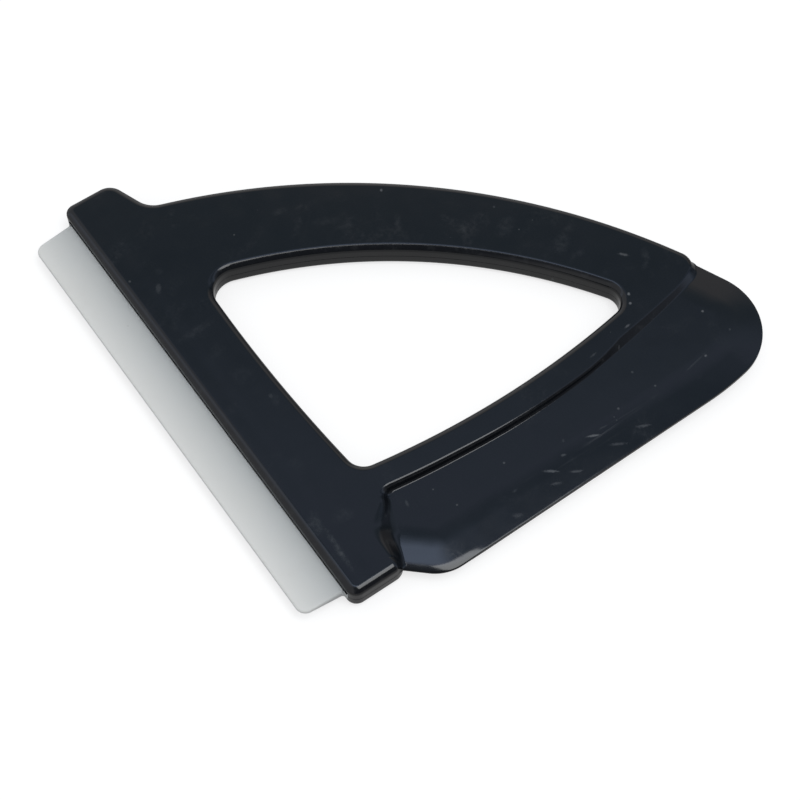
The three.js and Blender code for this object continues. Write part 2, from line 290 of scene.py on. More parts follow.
frameCorners = [
    ((0.0, 0.0), grip["barRadius"], 0),
    (grip["foot"], grip["footRadius"], 0),
    (grip["heel"], grip["heelRadius"], grip["ribBow"]),
    (grip["tip"], grip["tipRadius"], grip["handleBow"]),
    (grip["shoulder"], grip["shoulderRadius"], 0),
    (grip["head"], grip["headRadius"], 0),
    ((0.0, grip["head"][1]), grip["barRadius"], 0),
]
frameSides, frameRoundings = roundingsOf(frameCorners)
footEnd, slantSide, ribSide, handleSide, _, _, lipFace = frameSides
footRounding, heelRounding, tipRounding = frameRoundings[1:4]
slantLength = (heelRounding["start"] - footRounding["end"]).length
heel, tip = Vector(grip["heel"]), Vector(grip["tip"])
holeFoot = crossing(lipFace, grip["barWidths"][0], ribSide, grip["ribWidth"], heel)
holeTip = crossing(ribSide, grip["ribWidth"], handleSide, grip["handleWidths"][0], tip)
nearHead = Vector(grip["shoulder"])
holeHead = crossing(handleSide, grip["handleWidths"][1], lipFace, grip["barWidths"][1], nearHead)


def bowInside(depth, start, end):  # of an arc that keeps its distance from the rib's outer side
    radius = ribSide["radius"] - depth
    return radius - math.sqrt(radius ** 2 - (end - start).length_squared / 4)


holeBows = bowInside(grip["ribWidth"], holeFoot, holeTip), grip["gripBow"], grip["barBow"]
holeCorners = list(zip((holeFoot, holeTip, holeHead), grip["holeRadii"], holeBows))

# Scraping blade: its sizes come first, because the grip's step beside it follows its top.
blade = {
    "thickness": 3.0,
    "edge": 1.2,
    "bevel": 9.0,
    "start": (23.5, -7.12),
    "bend": (113.7, -6.86),
    "end": (143.5, -2.2),
    "tail": (132.0, 24.7),  # the right end's line passes here, below the tip
    "startRadius": 12.0,
    "bendRadius": 80.0,
    "endRadius": 18.0,
    "rise": 1.9,  # how much higher the plate lies at the tip than at the foot
    "riseFrom": 28.0,
    "riseTo": 142.0,
    "runOn": 45.0,  # its outline carried on inside the grip
    "tongue": 2.5,  # how far the plate runs into the grip
    "clear": 29.0,  # outer reach of the zone that trims the plate
    "zoneRadius": 0.5,
    "flatFrom": 0.9,  # a face is flat if its normal is this upright
    "creaseWidth": 3.0,  # the soft border between bevel and flat
    "creaseSegments": 6,
    "rimWidth": 0.24,  # the rounding along the scraping edge
    "rimDrop": 0.12,
    "cornerRim": (2.4, 0.28),  # its width and drop round the left corner
    "cornerFade": (27.0, 36.0),
    "fadeCuts": 5,
    "rings": (0.0, 0.03, 0.08, 0.15, 0.24, 0.6, 1.0, 1.5, 2.0, 2.5, 9.0),  # distances from the edge
}


def carriedOn(start, through, distance):
    start, through = Vector(start), Vector(through)
    return through + (through - start).normalized() * distance


bladeCorners = [
    (blade["start"], blade["startRadius"], 0),
    (blade["bend"], blade["bendRadius"], 0),
    (blade["end"], blade["endRadius"], 0),
    (carriedOn(blade["end"], blade["tail"], blade["runOn"]), blade["endRadius"], 0),
    (carriedOn(blade["start"], grip["foot"], blade["runOn"]), blade["endRadius"], 0),
]
allBladeSides, bladeRoundings = roundingsOf(bladeCorners)
bladeSides = [allBladeSides[i] for i in (0, 1, 2, 4)]  # the fourth lies inside the grip
leftCorner = bladeRoundings[0]
bladeSlope = (blade["thickness"] - blade["edge"]) / 2 / blade["bevel"]


def bladeHeight(inset):  # half the blade's thickness at a distance from its edge
    lack = max(0.0, 1 - inset / blade["rimWidth"])
    return blade["edge"] / 2 + bladeSlope * inset - blade["rimDrop"] * lack ** 2


def bladeRise(x):
    return blade["rise"] * (x - blade["riseFrom"]) / (blade["riseTo"] - blade["riseFrom"])


# Profiles of the step beside the blade: lean in degrees, upper and lower rounding, reach of the toe.
step = {
    "rib": (90.0, 1.15, 0.85, 1.0),
    "ribMiddle": (76.0, 0.85, 0.8, 1.3),
    "slantAtFoot": (50.0, 2.4, 1.8, 0.8),
    "slantMiddle": (33.0, 5.5, 4.5, 0.9),
    "slantAtHeel": (60.0, 1.8, 1.4, 1.0),
    "tip": (30.0, 1.0, 1.0, 1.0),
    "tipEnd": (68.0, 1.8, 0.6, 0.25),
    "lean": (42.0, 65.0),  # where the rib's upright step starts to lean
    "fade": (84.0, 101.0),  # where it turns into the softer one at the tip
    "tipFrom": 0.42,  # share of the tip's rounding where the plain edge takes over
    "slantHalf": 0.5,  # share of the slant where its middle profile lies
    "slantPieces": 20,  # the slant is drawn in as many parts
    "fit": 0.9,  # most of the height that both roundings may take
    "sunk": (0.3, 0.08),  # the toe's last ring lies hidden in the plate
    "overlap": 0.02,  # the hollow starts this far below the plate's top
    "toeSteps": 5,
    "shoulderSteps": 9,
    "wallStep": 0.25,  # from ring to ring up a plain wall
    "ovalAtFoot": (0.4, 8.0),  # how oval the edge's rounding is, and how far from the foot
    "ovalAtLip": (0.5, 4.0),
    "ovalSizes": (0.3, 0.4),  # an oval rounding is wider and lower by these shares
}


def mix(first, second, share):
    return [tuple(a + (b - a) * share for a, b in zip(p, q)) for p, q in zip(first, second)]


def mixShapes(first, second, share):
    return mix([first], [second], share)[0]


def onRounding(rounding, point):
    return (point - rounding["centre"]).length < rounding["radius"] + nearLine


def spokesOf(rounding, point):
    return (p - rounding["centre"] for p in (rounding["start"], rounding["end"], point))


def sweepShare(rounding, point, low=0.0):
    start, end, here = spokesOf(rounding, point)
    return smooth(low, 1, turnBetween(start, here) / turnBetween(start, end))


def shoulder(end, across, up, lean):  # from the wall to the flat face: reach past the outline, and level
    turns = [lean * (1 - i / step["shoulderSteps"]) for i in range(step["shoulderSteps"] + 1)]
    return [(end + across * math.sin(t), grip["thickness"] - up * (1 - math.cos(t))) for t in turns]


def edgeProfile(point):  # a plain rounded edge
    chamfer, radius = grip["seamChamfer"], grip["edgeRadius"]
    (footOval, footReach), (lipOval, lipReach) = step["ovalAtFoot"], step["ovalAtLip"]
    nearFoot = footOval - footOval * smooth(0, footReach, point.y)
    nearLip = lipOval - lipOval * smooth(0, lipReach, point.x)
    oval, (wider, lower) = max(nearFoot, nearLip), step["ovalSizes"]
    across, up = radius * (1 + wider * oval), radius * (1 - lower * oval)
    rings = range(step["toeSteps"] + 3)  # as many as a step has below its shoulder
    wall = [(0.0, midPlane + chamfer + step["wallStep"] * i) for i in rings]
    return [(-chamfer, midPlane), *wall, *shoulder(-across, across, up, math.pi / 2)]


def stepProfile(point, shape):  # a hollow toe on the blade, a leaning wall and a rounded shoulder
    lean, upper, lower, toe = math.radians(shape[0]), *shape[1:]
    depth = max(0.0, min(depthInside(side, point)[0] for side in bladeSides))
    lost = bladeSlope * max(0.0, blade["bevel"] - depth)
    base = midPlane + bladeHeight(blade["bevel"]) - lost + bladeRise(point.x)
    height = grip["thickness"] - base
    fit = min(1.0, step["fit"] * height / ((upper + lower) * (1 - math.cos(lean))))
    upper, lower, toe = upper * fit, lower * fit, toe * fit
    rise = height - (upper + lower) * (1 - math.cos(lean))
    end = toe - (lower + upper) * math.sin(lean) - max(0.0, rise) / math.tan(lean)
    turns = [lean * i / step["toeSteps"] for i in range(step["toeSteps"] + 1)]
    hidden = [*edgeProfile(point)[:2], (toe + step["sunk"][0], base - step["sunk"][1])]
    foot = base - step["overlap"]
    hollow = [(toe - lower * math.sin(t), foot + lower * (1 - math.cos(t))) for t in turns]
    return hidden + hollow + shoulder(end, upper, upper, lean)


def profileAt(point):
    if onRounding(footRounding, point):
        share = sweepShare(footRounding, point)
        return mix(edgeProfile(point), stepProfile(point, step["slantAtFoot"]), share)
    if onRounding(tipRounding, point):
        shape = mixShapes(step["tip"], step["tipEnd"], sweepShare(tipRounding, point))
        share = sweepShare(tipRounding, point, step["tipFrom"])
        return mix(stepProfile(point, shape), edgeProfile(point), share)
    if onRounding(heelRounding, point):
        share = sweepShare(heelRounding, point)
        return mix(stepProfile(point, step["slantAtHeel"]), stepProfile(point, step["rib"]), share)
    if abs(depthInside(slantSide, point)[0]) < nearLine and point.y < heelRounding["start"].y:
        share, half = (point - footRounding["end"]).length / slantLength, step["slantHalf"]
        shape = mixShapes(step["slantAtFoot"], step["slantMiddle"], smooth(0.0, half, share))
        return stepProfile(point, mixShapes(shape, step["slantAtHeel"], smooth(half, 1.0, share)))
    if abs(depthInside(ribSide, point)[0]) < nearLine and point.y < tipRounding["start"].y:
        shape = mixShapes(step["rib"], step["ribMiddle"], smooth(*step["lean"], point.x))
        return stepProfile(point, mixShapes(shape, step["tip"], smooth(*step["fade"], point.x)))
    return edgeProfile(point)


def fillRing(ring, level):  # two faces, parted by spokes across the bar and across the handle
    middle = inFrame((0, grip["head"][1] / 2), midPlane).y
    onLevel = [v for v in ring.data.vertices if abs(v.co.z - level * mm) < mergeGap * mm]
    here = {v.index for v in onLevel}
    ends = []
    for goal in grip["spokes"]:
        goalX = inFrame((goal, 0), 0).x
        near = [v for v in onLevel if abs(v.co.x - goalX) < grip["spokeReach"] * mm]
        ends.append(min(near, key=lambda v: abs(v.co.y - middle)).index)
    for spoke in (ends[:2], ends[2:]):
        pick(ring, "VERT", lambda v: v.index in spoke)
        bpy.ops.mesh.edge_face_add()
        leaveEdit()
    for way in (1, -1):
        pick(ring, "VERT", lambda v: v.index in ends or v.index in here and (v.co.y - middle) * way > 0)
        bpy.ops.mesh.edge_face_add()
        leaveEdit()


def loopOf(outline):  # its vertices in order, anticlockwise
    nextTo = {}
    for edge in outline.data.edges:
        i, j = edge.vertices
        nextTo.setdefault(i, []).append(j)
        nextTo.setdefault(j, []).append(i)
    loop = [0, nextTo[0][0]]
    while len(loop) < len(nextTo):
        loop.append(next(i for i in nextTo[loop[-1]] if i != loop[-2]))
    places = [outline.data.vertices[i].co for i in loop]
    area = sum(p.x * q.y - p.y * q.x for p, q in zip(places, places[1:] + places[:1]))
    return loop if area > 0 else loop[::-1]


def placeKey(place):  # to a tenth of a micron
    return tuple(round(c, 7) for c in place)


def outerWall(name, outward):  # the outline drawn once and extruded ring by ring up its profiles
    counts = stepsOf(frameCorners, fineCorners=(1, 2, 3))
    wall = drawOutline(name, frameCorners, midPlane, counts, pieces={1: step["slantPieces"]})
    loop, stations = loopOf(wall), {}
    for i, here in enumerate(loop):
        neighbours = loop[i - 1], here, loop[(i + 1) % len(loop)]
        before, middle, after = (wall.data.vertices[k].co for k in neighbours)
        along = (middle - before).normalized() + (after - middle).normalized()
        point = inPlan(middle)
        profile = profileAt(point) if outward > 0 else edgeProfile(point)
        stations[here] = (point, Vector((along.y, -along.x)).normalized(), profile)
    editAll(wall)
    leaveEdit()
    for ring in range(len(profile)):
        if ring:
            bpy.ops.object.mode_set(mode="EDIT")
            bpy.ops.mesh.extrude_region_move()
            leaveEdit()
        under = {placeKey(wall.data.vertices[i].co): stations[i] for i in stations}
        fresh = [v for v in wall.data.vertices if v.select]
        stations = {v.index: under[placeKey(v.co)] for v in fresh}
        for i, (point, away, profile) in stations.items():
            reach, level = profile[ring]
            height = midPlane + outward * (level - midPlane)
            wall.data.vertices[i].co = inFrame(point + away * reach, height)
    return wall


def holeWall(name, level):
    wall = drawOutline(name, holeCorners, midPlane)
    editAll(wall)
    bpy.ops.mesh.extrude_region_move(TRANSFORM_OT_translate={"value": (0, 0, (level - midPlane) * mm)})
    leaveEdit()
    rims = wall.vertex_groups.new(name="hole")
    rims.add([v.index for v in wall.data.vertices], 1.0, "REPLACE")
    return wall


def makeShell(name, outward):
    faceLevel = midPlane + outward * midPlane
    shell = holeWall(name, faceLevel)
    outer = outerWall(name + "Outer", outward)
    activate(shell)
    outer.select_set(True)
    bpy.ops.object.join()
    fillRing(shell, midPlane)
    fillRing(shell, faceLevel)
    faceOutwards(shell)
    share = shell.data.attributes.new("bevel_weight_edge", "FLOAT", "EDGE")
    for edge in shell.data.edges:
        ends = [shell.data.vertices[i] for i in edge.vertices]
        if not all(end.groups for end in ends) or ends[0].co.z != ends[1].co.z:
            continue  # only the hole's edges are rounded here
        onFace = abs(ends[0].co.z - faceLevel * mm) < mergeGap * mm
        share.data[edge.index].value = 1.0 if onFace else grip["seamChamfer"] / grip["edgeRadius"]
    finishModifier(
        shell,
        "BEVEL",
        width=grip["edgeRadius"] * mm,
        segments=grip["filletSegments"],
        limit_method="WEIGHT",
        use_clamp_overlap=False,
        loop_slide=False,
    )
    shell.vertex_groups.clear()
    return shell


upperShell = makeShell("upperShell", 1)
lowerShell = makeShell("lowerShell", -1)
print("shells", len(upperShell.data.polygons), len(lowerShell.data.polygons))

# The blade's plate, bevelled on both sides and moulded in one with the upper shell.
plate = drawOutline("bladePlate", bladeCorners, midPlane - bladeHeight(0))
raiseFaces(plate, 2 * bladeHeight(0))
for way in (1, -1):
    pick(plate, "FACE", lambda f: f.normal.z * way > blade["flatFrom"])
    for outer, inner in zip(blade["rings"], blade["rings"][1:]):
        climb = bladeHeight(inner) - bladeHeight(outer)
        bpy.ops.mesh.inset(thickness=(inner - outer) * mm, depth=climb * mm)
    bpy.ops.mesh.region_to_loop()
    crease = {"offset": blade["creaseWidth"] * mm, "segments": blade["creaseSegments"]}
    bpy.ops.mesh.bevel(affect="EDGES", **crease)
    leaveEdit()
fadeStart, fadeEnd = blade["cornerFade"]
for i in range(blade["fadeCuts"] + 1):
    pick(plate, "FACE", lambda f: True)
    cutAt = fadeStart + (fadeEnd - fadeStart) * i / blade["fadeCuts"]
    bpy.ops.mesh.bisect(plane_co=inFrame((cutAt, 0), midPlane), plane_no=(1, 0, 0))
    leaveEdit()


def bladeDepth(point):  # distance from the blade's edge, round its left corner as well
    depth = min(depthInside(side, point)[0] for side in bladeSides)
    start, end, here = spokesOf(leftCorner, point)
    if turnBetween(start, here) > 0 and turnBetween(here, end) > 0:
        depth = min(depth, leftCorner["radius"] - here.length)
    return depth


rimWidth, rimDrop = blade["cornerRim"]
for vertex in plate.data.vertices:
    point = inPlan(vertex.co)
    lack = max(0.0, 1 - bladeDepth(point) / rimWidth) ** 2 * (1 - smooth(fadeStart, fadeEnd, point.x))
    vertex.co.z -= math.copysign(rimDrop * lack * mm, vertex.co.z - midPlane * mm)
    vertex.co.z += bladeRise(point.x) * mm

# Only what lies outside the grip is kept, and a tongue that runs into it.
tongue, clear, zoneRadius = blade["tongue"], blade["clear"], blade["zoneRadius"]
zoneFoot = crossing(slantSide, tongue, footEnd, -clear, Vector(grip["foot"]))
zoneHeel = crossing(slantSide, tongue, ribSide, tongue, heel)
zoneTip = crossing(ribSide, tongue, handleSide, -clear, tip)
zoneCorners = [
    (zoneFoot, zoneRadius, 0),
    ((zoneTip.x, -clear), zoneRadius, 0),
    (zoneTip, zoneRadius, -bowInside(tongue, zoneHeel, zoneTip)),
    (zoneHeel, zoneRadius, 0),
]
zone = drawOutline("tongueZone", zoneCorners, 0.0)
raiseFaces(zone, grip["thickness"])
cutOrAdd(plate, zone, "INTERSECT")
cutOrAdd(lowerShell, plate, "DIFFERENCE", keepOther=True)
cutOrAdd(upperShell, plate, "UNION")
print("blade joined", len(upperShell.data.polygons), "faces")

# Slot in the bar for the lip's root, open at the bar's face.
slot = {"low": 2.7, "high": 5.3, "depth": 8.2, "start": 2.3, "end": 137.9, "outside": -1.0}
low = inFrame((slot["outside"], slot["start"]), slot["low"])
high = inFrame((slot["depth"], slot["end"]), slot["high"])
for shell in (upperShell, lowerShell):
    bpy.ops.object.select_all(action="DESELECT")
    bpy.ops.mesh.primitive_cube_add(size=1)
    cutter = bpy.context.object
    bpy.ops.transform.resize(value=high - low)
    bpy.ops.transform.translate(value=(high + low) / 2)
    bpy.ops.object.transform_apply(location=True, rotation=True, scale=True)
    cutOrAdd(shell, cutter, "DIFFERENCE")
print("slot cut")

# Wiper lip: one soft strip, its root in the slot and its free blade outside the bar.
lip = {
    "reach": 12.2,
    "start": 3.6,
    "end": 136.6,
    "flare": 0.9,  # how much shorter the free edge is at each end
    "cornerRadius": 2.8,
    "neck": (-0.5, 0.04, 1.0),  # place, narrowing and rounding where the free blade meets the bar
    "rootWidth": 1.2,  # how much wider the root is at each end
    "rootStart": (-0.2, 0.3),  # place and rounding of the root's outer corners
    "rootDepth": 8.0,
    "rootRadius": 0.5,
    "rootThickness": 2.4,
    "edgeThickness": 1.2,
    "pivot": 1.8,  # the strip gets thinner from here to the free edge
    "rim": 0.58,  # the rounding along the free edge
    "rimSegments": 6,
    "rimFrom": 0.25,  # the rim is rounded from this far outside the bar
    "rimTilts": (0.3, 0.9),  # it lies between an upright face and a flat one
    "bendReach": 9.0,  # the cuts across stop this far out, before the rounded corners
    "stations": 34,
}
neckX, neckIn, neckRadius = lip["neck"]
rootX, rootStartRadius = lip["rootStart"]
nearEnd = [
    ((-lip["reach"], lip["start"] + lip["flare"]), lip["cornerRadius"], 0),
    ((neckX, lip["start"] + neckIn), neckRadius, 0),
    ((rootX, lip["start"] - lip["rootWidth"]), rootStartRadius, 0),
    ((lip["rootDepth"], lip["start"] - lip["rootWidth"]), lip["rootRadius"], 0),
]
farEnd = [((x, lip["end"] - (y - lip["start"])), radius, 0) for (x, y), radius, _ in reversed(nearEnd)]
wiperLip = drawOutline("wiperLip", nearEnd + farEnd, midPlane)
editAll(wiperLip)
bpy.ops.mesh.edge_face_add()
for station in range(1, lip["stations"]):
    x = lip["rootDepth"] - (lip["rootDepth"] + lip["bendReach"]) * station / lip["stations"]
    bpy.ops.mesh.select_all(action="SELECT")
    bpy.ops.mesh.bisect(plane_co=inFrame((x, 0), midPlane), plane_no=(1, 0, 0))
leaveEdit()
thick = wiperLip.vertex_groups.new(name="thick")
taperStart = inFrame((-lip["pivot"], 0), 0).x
taperEnd = inFrame((-lip["reach"], 0), 0).x
for vertex in wiperLip.data.vertices:
    share = (vertex.co.x - taperEnd) / (taperStart - taperEnd)
    thick.add([vertex.index], min(1.0, max(0.0, share)), "REPLACE")
finishModifier(
    wiperLip,
    "SOLIDIFY",
    thickness=lip["rootThickness"] * mm,
    offset=0.0,
    vertex_group="thick",
    thickness_vertex_group=lip["edgeThickness"] / lip["rootThickness"],
)
tiltsBeside = {}
for face in wiperLip.data.polygons:
    for key in face.edge_keys:
        tiltsBeside.setdefault(key, []).append(abs(face.normal.z))
upright, flat = lip["rimTilts"]
rimX = barFoot.x - lip["rimFrom"] * mm


def onLipRim(edge):
    tilts = tiltsBeside[tuple(sorted(edge.vertices))]
    middleX = sum(wiperLip.data.vertices[i].co.x for i in edge.vertices) / 2
    return min(tilts) < upright and max(tilts) > flat and middleX < rimX


pick(wiperLip, "EDGE", onLipRim)
rim = {"offset": lip["rim"] * mm, "segments": lip["rimSegments"]}
bpy.ops.mesh.bevel(affect="EDGES", clamp_overlap=False, **rim)
faceOutwards(wiperLip)
print("lip", len(wiperLip.data.polygons), "faces")

for piece in (upperShell, lowerShell, wiperLip):
    activate(piece)
    bpy.ops.object.shade_smooth_by_angle(angle=sharpFrom)
    finishModifier(piece, "WEIGHTED_NORMAL", mode="FACE_AREA", weight=80, keep_sharp=True)
for piece, node in ((upperShell, "upper_shell"), (lowerShell, "lower_shell")):
    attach(piece, "scraper")
    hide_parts(node)
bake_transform(wiperLip)
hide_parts("wiper_lip_root", "wiper_lip_blade")


# Shader nodes: a socket is linked and a plain value is set.
def feed(tree, value, socket):
    if isinstance(value, bpy.types.NodeSocket):
        tree.links.new(value, socket)
    else:
        socket.default_value = value


def addNode(tree, kind, inputs, **settings):
    node = tree.nodes.new("ShaderNode" + kind)
    for key, value in settings.items():
        setattr(node, key, value)
    for key, value in inputs.items():
        feed(tree, value, node.inputs[key])
    return node


def calc(tree, operation, *values):
    return addNode(tree, "Math", dict(enumerate(values)), operation=operation).outputs[0]


def vectorCalc(tree, operation, inputs, output=0):
    return addNode(tree, "VectorMath", inputs, operation=operation).outputs[output]


def turnAboutZ(tree, vector, angle):
    inputs = {"Vector": vector, "Angle": angle}
    return addNode(tree, "VectorRotate", inputs, rotation_type="Z_AXIS").outputs[0]


def ease(tree, value, low, high, start=0.0, end=1.0):  # from start to end, also where low is the larger
    inputs = {"Value": value, "From Min": low, "From Max": high, "To Min": start, "To Max": end}
    return addNode(tree, "MapRange", inputs, interpolation_type="SMOOTHSTEP").outputs[0]


def noise(tree, vector, scale, detail=2.0, distortion=0.0):
    inputs = {"Vector": vector, "Scale": scale, "Detail": detail, "Distortion": distortion}
    return addNode(tree, "TexNoise", inputs).outputs[0]


def tint(tree, under, over, share):
    inputs = {"Factor": share, "A": under, "B": over}
    return addNode(tree, "Mix", inputs, data_type="RGBA").outputs["Result"]


def colourRamp(tree, value, stops):
    node = addNode(tree, "ValToRGB", {0: value})
    marks = node.color_ramp.elements
    for mark, (share, colour) in zip(marks, (stops[0], stops[-1])):
        mark.position, mark.color = share, (*colour, 1)
    for share, colour in stops[1:-1]:
        marks.new(share).color = (*colour, 1)
    return node.outputs[0]


def newGroup(name, inputs, outputs):
    group = bpy.data.node_groups.new(name, "ShaderNodeTree")
    for label in inputs:
        kind = "NodeSocketVector" if label in ("Vector", "Place", "Normal") else "NodeSocketFloat"
        group.interface.new_socket(label, in_out="INPUT", socket_type=kind)
    for label in outputs:
        group.interface.new_socket(label, in_out="OUTPUT", socket_type="NodeSocketFloat")
    return group, group.nodes.new("NodeGroupInput").outputs, group.nodes.new("NodeGroupOutput").inputs


def useGroup(tree, group, **inputs):
    return addNode(tree, "Group", inputs, node_tree=group).outputs


# moulded grain: a fine height and a slow change of tone
fineGrain, given, made = newGroup("fineGrain", ("Vector", "Scale"), ("Height", "Tone"))
slowScale = calc(fineGrain, "MULTIPLY", given["Scale"], 0.05)
feed(fineGrain, noise(fineGrain, given["Vector"], given["Scale"], 3.0), made["Height"])
feed(fineGrain, noise(fineGrain, given["Vector"], slowScale), made["Tone"])

# slow waves that a moulding keeps in a flat face
softWaves, given, made = newGroup("softWaves", ("Vector", "Scale", "Depth"), ("Height",))
swell = calc(softWaves, "SUBTRACT", noise(softWaves, given["Vector"], given["Scale"], 1.0), 0.5)
feed(softWaves, calc(softWaves, "MULTIPLY", swell, given["Depth"]), made["Height"])

# dust: a speck in some cells of a Voronoi pattern, each of its own size
dust, given, made = newGroup("dust", ("Vector", "Scale", "Amount"), ("Mask",))
cells = addNode(dust, "TexVoronoi", {"Vector": given["Vector"], "Scale": given["Scale"]}).outputs
chance = addNode(dust, "SeparateColor", {0: cells["Color"]}).outputs
present = calc(dust, "LESS_THAN", chance[0], given["Amount"])
size = calc(dust, "MULTIPLY_ADD", chance[1], 0.16, 0.05)
speck = ease(dust, calc(dust, "DIVIDE", cells["Distance"], size), 1.0, 0.5)
feed(dust, calc(dust, "MULTIPLY", present, speck), made["Mask"])

# smudges left by fingers: cloudy patches broken up by a finer pattern
smudges, given, made = newGroup("smudges", ("Vector", "Scale", "Amount"), ("Mask",))
cloud = noise(smudges, given["Vector"], given["Scale"], 4.0, distortion=1.2)
patch = ease(smudges, cloud, calc(smudges, "SUBTRACT", 0.72, given["Amount"]), 0.8)
ridgeScale = calc(smudges, "MULTIPLY", given["Scale"], 14.0)
ridges = ease(smudges, noise(smudges, given["Vector"], ridgeScale, 3.0), 0.3, 0.75)
feed(smudges, calc(smudges, "MULTIPLY", patch, ridges), made["Mask"])

# fine scratches drawn out along one direction
streaks, given, made = newGroup("streaks", ("Vector", "Turn", "Scale", "Stretch"), ("Mask",))
turned = turnAboutZ(streaks, given["Vector"], given["Turn"])
squeeze = {"X": calc(streaks, "DIVIDE", 1.0, given["Stretch"]), "Y": 1.0, "Z": 1.0}
squeeze = addNode(streaks, "CombineXYZ", squeeze).outputs[0]
drawn = vectorCalc(streaks, "MULTIPLY", {0: turned, 1: squeeze})
feed(streaks, ease(streaks, noise(streaks, drawn, given["Scale"], 3.0), 0.58, 0.74), made["Mask"])

# one placed mark: a dash with ragged ends
markInputs = ("Vector", "Place", "Turn", "Length", "Width", "Ragged")
wornMark, given, made = newGroup("wornMark", markInputs, ("Mask",))
offset = vectorCalc(wornMark, "SUBTRACT", {0: given["Vector"], 1: given["Place"]})
apart = addNode(wornMark, "SeparateXYZ", {0: turnAboutZ(wornMark, offset, given["Turn"])}).outputs
along = calc(wornMark, "DIVIDE", calc(wornMark, "ABSOLUTE", apart["X"]), given["Length"])
across = calc(wornMark, "DIVIDE", calc(wornMark, "ABSOLUTE", apart["Y"]), given["Width"])
squares = calc(wornMark, "MULTIPLY_ADD", along, along, calc(wornMark, "MULTIPLY", across, across))
reach = calc(wornMark, "ADD", calc(wornMark, "SQRT", squares), given["Ragged"])
feed(wornMark, ease(wornMark, reach, 0.58, 0.12), made["Mask"])

# wear on rounded edges: the object's own normal leans there, and noise breaks the wear up
edgeWear, given, made = newGroup("edgeWear", ("Vector", "Normal", "Scale"), ("Mask",))
lean = addNode(edgeWear, "SeparateXYZ", {0: given["Normal"]}).outputs["Z"]
lean = calc(edgeWear, "ABSOLUTE", lean)
rounded = calc(edgeWear, "MULTIPLY", ease(edgeWear, lean, 0.98, 0.85), ease(edgeWear, lean, 0.2, 0.5))
broken = ease(edgeWear, noise(edgeWear, given["Vector"], given["Scale"], 4.0), 0.52, 0.68)
feed(edgeWear, calc(edgeWear, "MULTIPLY", rounded, broken), made["Mask"])


def newMaterial(name):
    material = bpy.data.materials.new(name)
    material.use_nodes = True
    tree = material.node_tree
    return material, tree, tree.nodes["Principled BSDF"].inputs, addNode(tree, "TexCoord", {}).outputs


def layMarks(tree, colour, roughness, masks, layers):  # each changes the colour and may roughen the face
    for name, (over, share, rougher) in layers.items():
        colour = tint(tree, colour, over, calc(tree, "MULTIPLY", masks[name], share))
        if rougher:
            roughness = calc(tree, "MULTIPLY_ADD", masks[name], rougher, roughness)
    return colour, roughness


def addHeights(tree, height, *more):  # a mask and its height in mm for each
    for mask, tall in more:
        height = calc(tree, "MULTIPLY_ADD", mask, tall * mm, height)
    return addNode(tree, "Bump", {"Height": height, "Distance": 1.0}).outputs[0]


